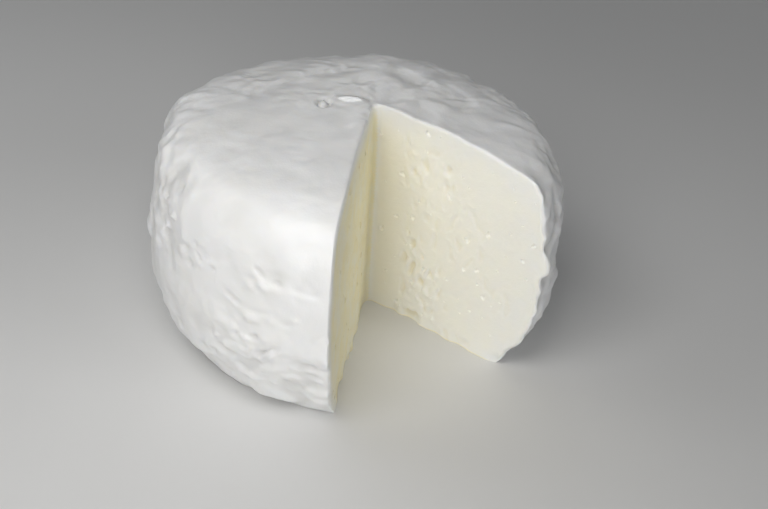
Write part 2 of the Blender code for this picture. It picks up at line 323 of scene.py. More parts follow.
# Holes in the curd
HOLE_COUNT = 120
HOLE_SMALLEST = 0.0003
HOLE_LARGEST = 0.0013
HOLE_SIZE_POWER = 2.5
HOLE_MARGIN = 0.0015
HOLE_APART = 2.0
HOLE_CLEAR = 1.12
HOLE_RINGS = (0.45, 0.8, 0.98, 1.06, 1.35)
HOLE_SIDES = 12
HOLE_DEPTH = 0.85
HOLE_STRETCH = (0.75, 1.35)
HOLE_LOBES = 3.0
HOLE_WOBBLE = 0.16
HOLE_SEED = 11

# Holes that show: the cut (-1 left, 1 right), distance from the tip, height and radius
SEEN_HOLES = (
    (1, 0.0026, 0.0638, 0.0006),
    (1, 0.0116, 0.0526, 0.0010),
    (1, 0.0104, 0.0367, 0.0008),
    (1, 0.0047, 0.0298, 0.0011),
    (-1, 0.0442, 0.0425, 0.0009),
    (-1, 0.0330, 0.0473, 0.0008),
)

SHARP_ANGLE = 50.0
SKIN_SLOT = 0
PASTE_SLOT = 1

# Colours, and the scatter of light below the surface
SKIN_WHITE = (0.90, 0.905, 0.91)
SKIN_CREAM = (0.88, 0.88, 0.87)
# SKIN_CREASE_SHADE is painted shade: the colour the skin takes in its creases, dents and pits
SKIN_CREASE_SHADE = (0.81, 0.81, 0.80)
PASTE_RIM = (0.90, 0.905, 0.89)
PASTE_MIDDLE = (0.95, 0.865, 0.565)
PASTE_LIGHT = (0.93, 0.92, 0.83)
# PASTE_HOLLOW_SHADE is painted shade: the darker colour the curd takes in its torn hollows
PASTE_HOLLOW_SHADE = (0.83, 0.77, 0.57)
SCATTER_RADIUS = (1.0, 0.85, 0.65)
SCATTER_SCALE = 0.0012
SCATTER_WEIGHT = 0.2
WET_ROUGHNESS = 0.17

# Cream in the cuts: the depth below the skin over which it grows, and on the right cut also its
# shares far from the tip and near it, and the reach from the tip over which these change. Both cuts
# are one curd: the quick cream on the left cut is partly its own tone and partly painted shade, and
# the right cut is kept paler as painted light.
CREAM_DEPTH = (0.0, 0.0055)
RIGHT_CREAM_UNDER_PAINTED_LIGHT = (0.14, 0.28)
RIGHT_CREAM_REACH = (0.004, 0.026)
RIGHT_CREAM_DEPTH = (0.0, 0.014)

# Textures: scale in features per metre and detail of each noise, and the range that it is read over
SKIN_PATCHES = (45.0, 3.0)
SKIN_PATCH_RANGE = (0.35, 0.65)
# The relief below the smooth form over which the painted shade in the creases grows
SKIN_CREASE_SHADE_RELIEF = (-0.00005, -0.00060)
SKIN_MOIST = (160.0, 3.0)
SKIN_MOIST_RANGE = (0.3, 0.7)
SKIN_ROUGHNESS = (0.28, 0.46)
SKIN_PORES = (1500.0, 2.0)
SKIN_GRAIN = (420.0, 3.0)
PASTE_MOTTLE = (130.0, 4.0)
PASTE_MOTTLE_RANGE = (0.40, 0.65)
PASTE_MOTTLE_SHARE = 0.5
# The depth of torn hollows over which their painted shade grows, and its largest share
PASTE_HOLLOW_SHADE_RELIEF = (-0.0001, -0.0010)
PASTE_HOLLOW_SHADE_SHARE = 0.8
PASTE_GLOSS = (300.0, 3.0)
PASTE_GLOSS_RANGE = (0.35, 0.65)
PASTE_ROUGHNESS = (0.32, 0.58)
PASTE_PORES = (1800.0, 3.0)
PASTE_GRAIN = (520.0, 4.0)

# Depth in metres and strength of the bumps from these textures
SKIN_PORE_BUMP = (0.00008, 0.5)
SKIN_GRAIN_BUMP = (0.0002, 0.35)
PASTE_PORE_BUMP = (0.0001, 0.6)
PASTE_GRAIN_BUMP = (0.0004, 0.5)

# The stage: azimuth, elevation, distance, size, power and colour of each softbox
FLOOR_SIZE = 6.0
FLOOR_COLOUR = (0.78, 0.78, 0.775)
FLOOR_ROUGHNESS = 0.7
SOFTBOXES = (
    ("high", -20.0, 50.0, 0.32, 0.20, 0.485, (1.0, 0.99, 0.97)),
    ("low", -12.0, 6.0, 0.62, 0.25, 1.16, (1.0, 0.99, 0.97)),
    ("right", 62.0, 21.0, 0.90, 0.40, 1.17, (0.98, 0.99, 1.0)),
    ("left", -105.0, 40.0, 0.42, 0.25, 0.26, (0.98, 0.99, 1.0)),
    ("back_left", -145.0, 18.0, 0.90, 0.50, 0.40, (0.98, 0.99, 1.0)),
    ("back_right", 148.0, 18.0, 0.90, 0.50, 0.42, (0.98, 0.99, 1.0)),
    ("behind", 181.0, 28.0, 0.75, 0.10, 0.16, (0.96, 0.98, 1.0)),
)
SURROUND_COLOUR = (0.95, 0.97, 1.0)
SURROUND_STRENGTH = 0.02

# Camera
CAMERA_PLACE = (0.0, -0.40236, 0.27518)
CAMERA_TARGET = (0.00996, -0.00552, 0.02806)
CAMERA_ROLL = 5.126
CAMERA_LENS = 68.62
SENSOR_WIDTH = 36.0


def smooth_step(value, low, high):
    """0 below low, 1 above high and an even S between them."""
    share = np.clip((value - low) / (high - low), 0.0, 1.0)
    return share * share * (3.0 - 2.0 * share)


def noise_at(points, lengths, shift=0.0):
    """Blender's noise at many points, stretched to the given lengths."""
    scaled = points / np.asarray(lengths) + shift
    return np.array([noise.noise(place) for place in scaled.tolist()])


def bent(points):
    """Places shifted by soft noise, which bends whatever pattern is read there."""
    shifts = [noise_at(points, BEND_LENGTH, shift) for shift in BEND_SHIFTS]
    return points + BEND * np.column_stack(shifts)


def direction(azimuth):
    """The level direction of an azimuth in degrees."""
    angle = np.radians(azimuth)
    return np.stack([np.sin(angle), -np.cos(angle)], axis=-1)


def fine_outline():
    """Radius and height down the smooth outline, from the top's centre to the foot."""
    angle = np.radians(np.linspace(90.0, 0.0, OUTLINE_SAMPLES))
    out = np.clip(np.cos(angle), 0.0, 1.0) ** (2.0 / SHOULDER_POWER_OUT)
    up = np.sin(angle) ** (2.0 / SHOULDER_POWER_UP)
    upper = np.column_stack([RADIUS * out, WIDEST_HEIGHT + (HEIGHT - WIDEST_HEIGHT) * up])
    down = np.linspace(0.0, 1.0, OUTLINE_SAMPLES)[1:]
    inset = (RADIUS - FOOT_RADIUS) * down**UNDERCUT_POWER
    lower = np.column_stack([RADIUS - inset, WIDEST_HEIGHT * (1.0 - down)])
    return np.vstack([upper, lower])


def along_line(points):
    """The distance along a line at each of its points."""
    steps = np.linalg.norm(np.diff(points, axis=0), axis=1)
    return np.concatenate([[0.0], np.cumsum(steps)])


def even_points(points, spacing):
    """Points at even distances along a line, close to a spacing."""
    length = along_line(points)
    count = max(1, round(length[-1] / spacing))
    wanted = np.linspace(0.0, length[-1], count + 1)
    return np.column_stack([np.interp(wanted, length, column) for column in points.T])


class CutPlan:
    """The two cuts seen from above, as one line u: negative on the left cut, positive on the right."""

    def __init__(self):
        self.half_angle = math.radians(RIGHT_CUT_AZIMUTH - LEFT_CUT_AZIMUTH) / 2.0
        middle = (LEFT_CUT_AZIMUTH + RIGHT_CUT_AZIMUTH) / 2.0
        self.back = middle + 180.0
        self.sweep = 90.0 - math.degrees(self.half_angle)
        self.centre = CUT_TIP + direction(middle) * TIP_ROUNDING / math.sin(self.half_angle)
        self.half_arc = TIP_ROUNDING * math.radians(self.sweep)
        self.tangent = TIP_ROUNDING / math.tan(self.half_angle)

    def from_tip(self, distance):
        """How far along the line a place is that lies at a distance from the tip."""
        return distance - self.tangent + self.half_arc

    def behind(self, level):
        """How far places in the cheese lie behind the cuts, and the way into the cheese there."""
        radial = level - self.centre
        gap = np.linalg.norm(radial, axis=1) - TIP_ROUNDING
        inward = radial / np.maximum(gap + TIP_ROUNDING, FLAT)[:, None]
        reach = level - CUT_TIP
        for azimuth, side in ((LEFT_CUT_AZIMUTH, -90.0), (RIGHT_CUT_AZIMUTH, 90.0)):
            across = direction(azimuth + side)
            beside = (reach @ direction(azimuth) > self.tangent) & (reach @ across > -EDGE_ROUNDING)
            gap = np.where(beside, reach @ across, gap)
            inward = np.where(beside[:, None], across, inward)
        return np.maximum(gap, 0.0), inward

    def place(self, u):
        """Places from above, and the way into the cheese there."""
        u = np.asarray(u, dtype=float)[:, None]
        distance = np.abs(u) + self.tangent - self.half_arc
        right = u > 0.0
        along = np.where(right, direction(RIGHT_CUT_AZIMUTH), direction(LEFT_CUT_AZIMUTH))
        inward = np.where(right, direction(RIGHT_CUT_AZIMUTH + 90.0), direction(LEFT_CUT_AZIMUTH - 90.0))
        round_tip = direction(self.back - self.sweep * u[:, 0] / self.half_arc)
        on_arc = np.abs(u) < self.half_arc
        level = np.where(on_arc, self.centre + round_tip * TIP_ROUNDING, CUT_TIP + distance * along)
        return level, np.where(on_arc, round_tip, inward)


def tip_distance(azimuth, radius):
    """How far from the tip a level line at an azimuth meets a circle about the wheel's axis."""
    slope = direction(azimuth) @ CUT_TIP
    return -slope + np.sqrt(slope**2 + radius**2 - CUT_TIP @ CUT_TIP)


def hex_points(low, high, cell):
    """An even pattern of points over a rectangle."""
    rows = np.arange(low[1], high[1], cell * math.sqrt(0.75))
    points = []
    for number, row in enumerate(rows):
        across = np.arange(low[0] + (number % 2) * cell / 2.0, high[0], cell)
        points.append(np.column_stack([across, np.full(len(across), row)]))
    return np.vstack(points)


def keep_inside(points, loop, margin, beside=()):
    """The points inside a loop that keep a margin from its corners and from the points beside it."""
    inside = np.zeros(len(points), dtype=bool)
    for start, end in zip(loop, np.roll(loop, -1, axis=0)):
        crosses = (start[1] > points[:, 1]) != (end[1] > points[:, 1])
        rise = end[1] - start[1] if end[1] != start[1] else 1.0
        at = start[0] + (points[:, 1] - start[1]) * (end[0] - start[0]) / rise
        inside ^= crosses & (points[:, 0] < at)
    tree = kdtree.KDTree(len(loop) + len(beside))
    for number, corner in enumerate([*loop, *beside]):
        tree.insert((corner[0], corner[1], 0.0), number)
    tree.balance()
    near = np.array([tree.find((x, y, 0.0))[2] for x, y in points.tolist()])
    return points[inside & (near > margin)]


def rows_beside(line, loop):
    """Rows of points inside a loop, close to a line that runs along it with the inside on its left."""
    tangent = np.gradient(line, axis=0)
    tangent /= np.linalg.norm(tangent, axis=1)[:, None]
    left = np.column_stack([-tangent[:, 1], tangent[:, 0]])
    return np.vstack([keep_inside(line + left * row, loop, row * EDGE_CLEAR) for row in EDGE_ROWS])


def fill(loop, inner):
    """Triangles between a loop and the points inside it, numbered with the loop first."""
    corners = [Vector(point) for point in np.vstack([loop, inner]).tolist()]
    edges = [(number, (number + 1) % len(loop)) for number in range(len(loop))]
    points, _, faces, sources, _, _ = geometry.delaunay_2d_cdt(corners, edges, [], 1, FILL_TOLERANCE)
    if len(points) != len(corners):
        raise ValueError("a patch has crossing or doubled points")
    return [tuple(sources[corner][0] for corner in face) for face in faces]


class Cheese:
    """The points and faces of the cheese while it is made."""

    def __init__(self):
        self.points = []
        self.faces = []
        self.slots = []

    def add(self, points):
        """Add points and return their numbers."""
        first = len(self.points)
        self.points.extend(np.asarray(points).tolist())
        return list(range(first, len(self.points)))

    def level(self, numbers):
        """The places of points seen from above."""
        return np.array([self.points[number][:2] for number in numbers])

    def add_faces(self, faces, slot):
        """Add faces with a material slot."""
        self.faces.extend(faces)
        self.slots.extend([slot] * len(faces))

    def add_patch(self, rim, loop, inner, places, slot, downward=False):
        """Fill a rim with triangles over inner points, and return the numbers of these points."""
        added = self.add(places)
        numbers = rim + added
        faces = [tuple(numbers[corner] for corner in face) for face in fill(loop, inner)]
        self.add_faces([face[::-1] for face in faces] if downward else faces, slot)
        return added


def column_azimuths():
    """The azimuths of the columns from the right cut round the back to the left cut, finer in front."""
    bounds = (RIGHT_CUT_AZIMUTH, FRONT_END + 360.0, LEFT_CUT_AZIMUTH + 360.0)
    rows = np.degrees(np.array(EDGE_ROWS) / RADIUS)
    azimuths = [RIGHT_CUT_AZIMUTH, *(bounds[0] + rows), *(bounds[-1] - rows)]
    for start, end, spacing in zip(bounds, bounds[1:], (REST_SPACING, FRONT_SPACING)):
        count = round(math.radians(end - start) * RADIUS / spacing)
        azimuths.extend(np.linspace(start, end, count + 1)[1:])
    return sorted(azimuths)


def side_grid(cheese, rings):
    """The skin from the top's edge down to the foot: columns of points round the wheel."""
    columns = []
    for azimuth in column_azimuths():
        distance = tip_distance(azimuth, rings[:, 0])
        level = CUT_TIP + distance[:, None] * direction(azimuth)
        columns.append(cheese.add(np.column_stack([level, rings[:, 1]])))
    for left, right in zip(columns, columns[1:]):
        quads = [(left[i], left[i + 1], right[i + 1], right[i]) for i in range(len(left) - 1)]
        cheese.add_faces(quads, SKIN_SLOT)
    return columns


def cut_line(plan, ends, spacing):
    """Even steps along the cuts between two places, with fine steps round the tip."""
    arc = np.linspace(-plan.half_arc, plan.half_arc, round(2.0 * plan.half_arc / ARC_STEP) + 1)
    left = np.linspace(ends[0], -plan.half_arc, round((-plan.half_arc - ends[0]) / spacing) + 1)
    right = np.linspace(plan.half_arc, ends[1], round((ends[1] - plan.half_arc) / spacing) + 1)
    return np.concatenate([left[1:-1], arc, right[1:-1]])


def skin_frame(points, outline):
    """The way out of the skin and the depth below the skin."""
    tangent = np.gradient(outline, axis=0)
    tangent /= np.linalg.norm(tangent, axis=1)[:, None]
    tree = kdtree.KDTree(len(outline))
    for number, (radius, height) in enumerate(outline.tolist()):
        tree.insert((radius, height, 0.0), number)
    tree.balance()
    radius = np.linalg.norm(points[:, :2], axis=1)
    found = [tree.find((r, z, 0.0)) for r, z in zip(radius.tolist(), points[:, 2].tolist())]
    nearest = np.array([hit[1] for hit in found])
    depth = np.array([hit[2] for hit in found])
    radial = points[:, :2] / np.maximum(radius, FLAT)[:, None]
    outward = np.column_stack([radial * -tangent[nearest, 1:], tangent[nearest, 0]])
    return outward, depth


def azimuth_of(points):
    """Degrees from the front, -Y, towards +X."""
    return np.degrees(np.arctan2(points[:, 0], -points[:, 1]))


def folds(points):
    """Flat lumps of curd with sharp creases between them."""
    swell = np.abs(noise_at(points, (FOLD_LENGTH, FOLD_LENGTH, FOLD_HEIGHT))) ** FOLD_SHARPNESS - 0.5
    reach = 1.0 - smooth_step(points[:, 2], FOLD_TOP - FOLD_FADE, FOLD_TOP)
    turn = np.radians(azimuth_of(points) - CALM_AZIMUTH)
    share = CALM_SHARE + (1.0 - CALM_SHARE) * (0.5 - 0.5 * np.cos(turn))
    return FOLD_DEPTH * swell * reach * share


def side_spots(points, spots):
    """Single soft rises on the side, each long one way and slanted."""
    rise = np.zeros(len(points))
    azimuth_here = azimuth_of(points)
    outer = np.linalg.norm(points[:, :2], axis=1) > TOP_SHARE * RADIUS
    for azimuth, height, half_length, half_height, highest, slant in spots:
        along = np.radians(azimuth_here - azimuth) * RADIUS
        up = points[:, 2] - height
        lean = math.radians(slant)
        length_share = (along * math.cos(lean) + up * math.sin(lean)) / half_length
        height_share = (up * math.cos(lean) - along * math.sin(lean)) / half_height
        rise += highest * outer * np.exp(-(length_share**2) - height_share**2)
    return rise


def grooves(points):
    """Short bent grooves on the side, each with a raised lip below it."""
    rise = np.zeros(len(points))
    azimuth = azimuth_of(points)
    waver = GROOVE_WAVER * noise_at(points, CURD_LENGTH, GROOVE_WAVER_SHIFT)
    uneven = noise_at(points, CURD_LENGTH, GROOVE_PATCH_SHIFT)
    uneven = GROOVE_PATCHES[0] + GROOVE_PATCHES[1] * uneven
    for start, start_height, end, end_height, sag, half_width, depth in GROOVES:
        share = (azimuth - start) / (end - start)
        middle = start_height + (end_height - start_height) * share
        middle -= sag * (1.0 - (2.0 * share - 1.0) ** 2)
        above = (points[:, 2] + waver - middle) / half_width
        ends = smooth_step(share, -GROOVE_END, GROOVE_END)
        ends *= 1.0 - smooth_step(share, 1.0 - GROOVE_END, 1.0 + GROOVE_END)
        profile = GROOVE_LIP_SHARE * np.exp(-((above + GROOVE_LIP_BELOW) ** 2)) - np.exp(-(above**2))
        rise += depth * uneven * ends * profile
    return rise


def swells(points):
    """Broad soft rises and falls of the whole form."""
    rise = np.zeros(len(points))
    for azimuth, radius, height, half_size, highest in SWELLS:
        centre = np.array((*(direction(azimuth) * radius), height))
        rise += highest * np.exp(-(((points - centre) / half_size) ** 2).sum(axis=1))
    return rise


def small_marks():
    """Small bumps and pits scattered over the patches, by a seeded draw."""
    draw = random.Random(MARK_SEED)
    marks = []
    for azimuth, height, spread_round, spread_up, count in MARK_PATCHES:
        for _ in range(count):
            turn = azimuth + math.degrees(draw.gauss(0.0, spread_round / 2.0) / RADIUS)
            size = draw.uniform(*MARK_SIZE)
            rise = draw.uniform(*MARK_RISE) * draw.choice((-1.0, 1.0))
            up = height + draw.gauss(0.0, spread_up / 2.0)
            half_height = size * draw.uniform(*MARK_FLATNESS)
            marks.append((turn, up, size, half_height, rise, draw.uniform(-MARK_SLANT, MARK_SLANT)))
    return marks


def top_spots(points):
    """Single soft rises on the top, the wet blister and the ringed pit."""
    high = smooth_step(points[:, 2], WIDEST_HEIGHT, HEIGHT - SKIN_REACH)
    level = (points[:, :2] - BLISTER_PLACE) @ BLISTER_LEVEL
    rise = (BLISTER_RISE + level) * crown_share(points, BLISTER_PLACE, BLISTER_HALF)
    rise += PIT_BUMP_RISE * crown_share(points, PIT_PLACE, PIT_BUMP_HALF)
    rise -= PIT_DEPTH * crown_share(points, PIT_PLACE, PIT_HALF)
    for x, y, half_length, half_width, highest in TOP_MARKS:
        across = (points[:, 0] - x) / half_length
        back = (points[:, 1] - y) / half_width
        rise += highest * np.exp(-(across**2) - back**2)
    return rise * high


def crown_share(points, place, half):
    """1 on the flat crown of a bump on the top, falling to 0 past its edge."""
    own = np.linalg.norm((points[:, :2] - place) / half, axis=1)
    return 1.0 - smooth_step(own, *CROWN_EDGE)


def wet_share(points):
    """How wet the skin is: on the blister and on the bump in the ringed pit beside it."""
    high = smooth_step(points[:, 2], WIDEST_HEIGHT, HEIGHT - SKIN_REACH)
    blister = crown_share(points, BLISTER_PLACE, BLISTER_HALF)
    return high * np.maximum(blister, crown_share(points, PIT_PLACE, PIT_BUMP_HALF))


def degrees_from(points, azimuth):
    """How far round the wheel points are from an azimuth, in degrees."""
    return np.abs((azimuth_of(points) - azimuth + 180.0) % 360.0 - 180.0)


def knots(points, places):
    """Knotted curd with sharp creases, on the right, the back and the far left."""
    size = (KNOT_LENGTH, KNOT_LENGTH, KNOT_HEIGHT)
    swell = np.abs(noise_at(places, size, KNOT_SHIFT)) ** KNOT_SHARPNESS - KNOT_MEAN
    reach = 1.0 - smooth_step(points[:, 2], KNOT_TOP - KNOT_FADE, KNOT_TOP)
    patches = smooth_step(noise_at(points, LUMP_LENGTH, KNOT_PATCH_SHIFT), *KNOT_PATCHES)
    share = smooth_step(degrees_from(points, CALM_AZIMUTH), KNOT_START, KNOT_FULL)
    return KNOT_DEPTH * swell * reach * patches * share


def curd_share(points):
    """How much the small lumps show: little on the front and on the front half of the top."""
    radius = np.linalg.norm(points[:, :2], axis=1) / RADIUS
    side = smooth_step(degrees_from(points, CURD_FRONT), *CURD_SIDE) * smooth_step(radius, *CURD_OUTER)
    side *= CURD_SIDE_SHARE
    low = CURD_LOW_SHARE * (1.0 - smooth_step(points[:, 2], *CURD_LOW))
    back = CURD_BACK_SHARE * smooth_step(points[:, 1], *CURD_BACK)
    round_share = degrees_from(points, SMOOTH_AZIMUTH) / SMOOTH_HALF[0]
    up_share = (points[:, 2] - SMOOTH_HEIGHT) / SMOOTH_HALF[1]
    smooth = SMOOTH_SHARE * np.exp(-(round_share**2) - up_share**2)
    return np.maximum(np.maximum(side, low), np.maximum(back, CURD_CALM)) * (1.0 - smooth)


def curd(points, places):
    """Small lumps and shallow creases on wider soft lumps, but none on the blister and the pit."""
    lumps = noise_at(places, CURD_LENGTH, CURD_SHIFT)
    lumps += CURD_FINE * noise_at(places, CURD_LENGTH / 2.0, CURD_FINE_SHIFT)
    creases = np.abs(noise_at(places, CREASE_LENGTH, CREASE_SHIFT)) ** CREASE_SHARPNESS - CREASE_MEAN
    patches = smooth_step(noise_at(points, LUMP_LENGTH / 2.0, CURD_PATCH_SHIFT), *CURD_PATCHES)
    patches = CURD_PATCH_LEAST + (1.0 - CURD_PATCH_LEAST) * patches
    share = curd_share(points)
    wide = WIDE_DEPTH * noise_at(places, WIDE_LENGTH, WIDE_SHIFT) * share**WIDE_SPREAD
    small = CURD_DEPTH * (lumps + CREASE_SHARE * creases) * patches * share
    smooth = np.maximum(wet_share(points), crown_share(points, PIT_PLACE, PIT_HALF))
    return (wide + small) * (1.0 - smooth)


def skin_relief(points):
    """How far the skin stands out of the smooth outline: the broad form and the small relief."""
    places = bent(points)
    broad = LUMP_DEPTH * noise_at(points, LUMP_LENGTH) + folds(points) + swells(points)
    small = side_spots(points, SIDE_SPOTS) + side_spots(points, small_marks())
    small += grooves(points) + top_spots(points) + knots(points, places) + curd(points, places)
    return broad, small


def skin_moves(points, outward, depth):
    """How the relief moves each point, fading below the skin, with the small relief there."""
    above_foot = smooth_step(points[:, 2], 0.0, FOOT_CALM)
    reach = 1.0 - smooth_step(depth, 0.0, SKIN_REACH)
    broad, small = skin_relief(points)
    moves = outward * ((broad + small) * above_foot * reach)[:, None]
    radial = points[:, :2] / np.maximum(np.linalg.norm(points[:, :2], axis=1), FLAT)[:, None]
    level = np.column_stack([points[:, :2], np.zeros(len(points))])
    ragged = FOOT_RAGGED * noise_at(level, CHIP_LENGTH)
    for azimuth, half_length, out in FOOT_MARKS:
        ragged += out * np.exp(-((np.radians(azimuth_of(points) - azimuth) * RADIUS / half_length) ** 2))
    moves[:, :2] += radial * (ragged * (1.0 - above_foot) * reach)[:, None]
    return moves, small * above_foot * reach


def edge_moves(points, plan, outward, depth):
    """How the edges between the skin and the cuts are rounded off."""
    behind, inward = plan.behind(points[:, :2])
    inward = np.column_stack([inward, np.zeros(len(points))])
    off = np.minimum(np.maximum(behind, depth), EDGE_ROUNDING)
    angle = math.pi / 4.0 * (1.0 - off / EDGE_ROUNDING)
    along = EDGE_ROUNDING * (1.0 - np.sin(angle)) - off
    down = EDGE_ROUNDING * (1.0 - np.cos(angle))
    on_skin = behind > depth
    lip = EDGE_LIP_RISE * on_skin * np.exp(-((behind / EDGE_LIP_WIDTH) ** 2))
    into_cut = np.where(on_skin, along, down)[:, None] * inward
    into_skin = np.where(on_skin, down - lip, along)[:, None] * outward
    return (into_cut - into_skin) * smooth_step(points[:, 2], 0.0, EDGE_FOOT)[:, None]


def cut_lean(points):
    """How the lean of the cuts moves points on them and beside them."""
    reach = points[:, :2] - CUT_TIP
    away = np.linalg.norm(reach, axis=1)
    outer = smooth_step(away, 0.0, LEAN_LENGTH)
    down = np.maximum(0.0, HEIGHT - points[:, 2])
    left_down = np.maximum(0.0, 1.0 - points[:, 2] / LEAN_LEFT_START)
    near = []
    for azimuth in (LEFT_CUT_AZIMUTH, RIGHT_CUT_AZIMUTH):
        across = np.abs(reach @ direction(azimuth + 90.0))
        off = np.where(reach @ direction(azimuth) > 0.0, across, away)
        near.append(1.0 - smooth_step(off, 0.0, LEAN_REACH))
    left, right = near
    flare = FLARE_SHARE * (1.0 - np.exp(-down / FLARE_HEIGHT))
    at_tip = (1.0 - outer) * np.maximum(left, right) * (flare + (1.0 - FLARE_SHARE) * down / HEIGHT)
    moves = at_tip[:, None] * LEAN_TIP
    moves += (outer * left * left_down)[:, None] * LEAN_LEFT
    moves += (outer * right * down / HEIGHT)[:, None] * LEAN_RIGHT
    return moves


def cut_moves(points):
    """How waves and chips move the cuts and the skin beside them."""
    moves = np.zeros_like(points)
    for azimuth, side in ((LEFT_CUT_AZIMUTH, -90.0), (RIGHT_CUT_AZIMUTH, 90.0)):
        reach = points[:, :2] - CUT_TIP
        inward = direction(azimuth + side)
        share = 1.0 - smooth_step(np.abs(reach @ inward), 0.0, CUT_REACH)
        share *= smooth_step(reach @ direction(azimuth), 0.0, TIP_CALM)
        wave = CUT_WAVE_DEPTH * noise_at(points, CUT_WAVE_LENGTH)
        level = np.column_stack([points[:, :2], np.zeros(len(points))])
        chip = CHIP_DEPTH * np.maximum(0.0, CHIP_BIAS + noise_at(level, CHIP_LENGTH))
        low = 1.0 - smooth_step(points[:, 2], 0.0, CHIP_HEIGHT)
        if azimuth == LEFT_CUT_AZIMUTH:
            corner = smooth_step(reach @ direction(azimuth), *CORNER_START)
            spread = CORNER_SPREAD * (1.0 - smooth_step(points[:, 2], 0.0, CORNER_HEIGHT))
            chip = chip * (1.0 - corner)
            for distance, half_length, depth in LEFT_CHIPS:
                chip += depth * np.exp(-(((reach @ direction(azimuth) - distance) / half_length) ** 4))
            wave = wave - corner * spread
        moves[:, :2] += inward * (share * (wave + chip * low))[:, None]
    moves[:, :2] += cut_lean(points)
    return moves


class Hole:
    """A small round hole in the sheet of the cuts, a little long one way and uneven."""

    def __init__(self, place, radius, draw):
        self.place = place
        self.radius = radius
        self.stretch = draw.uniform(*HOLE_STRETCH)
        self.phase = draw.uniform(0.0, 2.0 * math.pi)
        turn = draw.uniform(0.0, math.pi)
        self.spin = np.array(((math.cos(turn), math.sin(turn)), (-math.sin(turn), math.cos(turn))))
        self.reach = radius * max(self.stretch, 1.0 / self.stretch) * (1.0 + HOLE_WOBBLE)

    def wobble(self, turns):
        """How far out the edge is at each turn, as a share of a smooth one."""
        return 1.0 + HOLE_WOBBLE * np.sin(HOLE_LOBES * turns + self.phase)

    def points(self):
        """The middle and rings of points round it, which let its wall be steep."""
        turns = np.linspace(0.0, 2.0 * math.pi, HOLE_SIDES, endpoint=False)
        circle = np.column_stack([np.cos(turns), np.sin(turns)]) * self.wobble(turns)[:, None]
        shape = self.radius * circle * (self.stretch, 1.0 / self.stretch) @ self.spin
        rings = [self.place + ring * shape for ring in HOLE_RINGS]
        return np.vstack([self.place[None, :], *rings])

    def share(self, places):
        """How far places are from the middle, as a share of the way to the edge."""
        own = (places - self.place) @ self.spin.T / (self.stretch, 1.0 / self.stretch)
        turns = np.arctan2(own[:, 1], own[:, 0])
        return np.linalg.norm(own, axis=1) / (self.radius * self.wobble(turns))


def place_holes(flat, plan):
    """The holes that show, and others at seeded places on the cuts."""
    draw = random.Random(HOLE_SEED)
    holes = []
    for side, distance, height, radius in SEEN_HOLES:
        holes.append(Hole(np.array((side * plan.from_tip(distance), height)), radius, draw))
    low, high = flat.min(axis=0), flat.max(axis=0)
    while len(holes) < HOLE_COUNT:
        place = np.array((draw.uniform(low[0], high[0]), draw.uniform(low[1], high[1])))
        radius = HOLE_SMALLEST + (HOLE_LARGEST - HOLE_SMALLEST) * draw.random() ** HOLE_SIZE_POWER
        hole = Hole(place, radius, draw)
        room = hole.reach * HOLE_RINGS[-1] + HOLE_MARGIN
        clear = abs(place[0]) > plan.half_arc + room
        clear = clear and len(keep_inside(place[None, :], flat, room)) > 0
        apart = (room + other.reach * HOLE_APART < math.dist(place, other.place) for other in holes)
        if clear and all(apart):
            holes.append(hole)
    return holes


def cut_points(flat, rows, holes):
    """The points inside the sheet of the cuts: edge rows, an even pattern and rings round the holes."""
    even = hex_points(flat.min(axis=0), flat.max(axis=0), CUT_CELL)
    even = keep_inside(even, flat, CUT_CELL * NEAR_EDGE, rows)
    clear = np.ones(len(even), dtype=bool)
    for hole in holes:
        clear &= hole.share(even) > HOLE_RINGS[-1] * HOLE_CLEAR
    return np.vstack([rows, even[clear], *[hole.points() for hole in holes]])


def hole_depths(places, holes):
    """How deep each place of the cuts lies in a hole."""
    depths = np.zeros(len(places))
    for hole in holes:
        inside = np.sqrt(np.clip(1.0 - hole.share(places) ** 2, 0.0, 1.0))
        depths = np.maximum(depths, hole.radius * HOLE_DEPTH * inside)
    return depths


def torn_depths(places, depth, plan):
    """How deep the curd is torn at each place of the cuts, below 0 where a flake stands out."""
    points = np.column_stack([places, np.zeros(len(places))])
    tear = noise_at(points, (TEAR_LENGTH, TEAR_HEIGHT, 1.0))
    flake = noise_at(points, (FLAKE_LENGTH, FLAKE_HEIGHT, 1.0), FLAKE_SHIFT)
    torn = TEAR_DEPTH * smooth_step(tear, *TEAR_EDGE) - FLAKE_DEPTH * smooth_step(flake, *FLAKE_EDGE)
    along = np.abs(places[:, 0]) - plan.half_arc
    share = smooth_step(along, *TORN_TIP) * (1.0 - (1.0 - TORN_FAR_SHARE) * smooth_step(along, *TORN_FAR))
    share *= smooth_step(depth, *TORN_SKIN)
    patches = smooth_step(noise_at(points, TORN_PATCH, TORN_PATCH_SHIFT), *TORN_PATCHES)
    share *= TORN_PATCH_LEAST + (1.0 - TORN_PATCH_LEAST) * patches
    share *= np.where(places[:, 0] < 0.0, LEFT_TORN_SHARE, 1.0)
    return torn * share


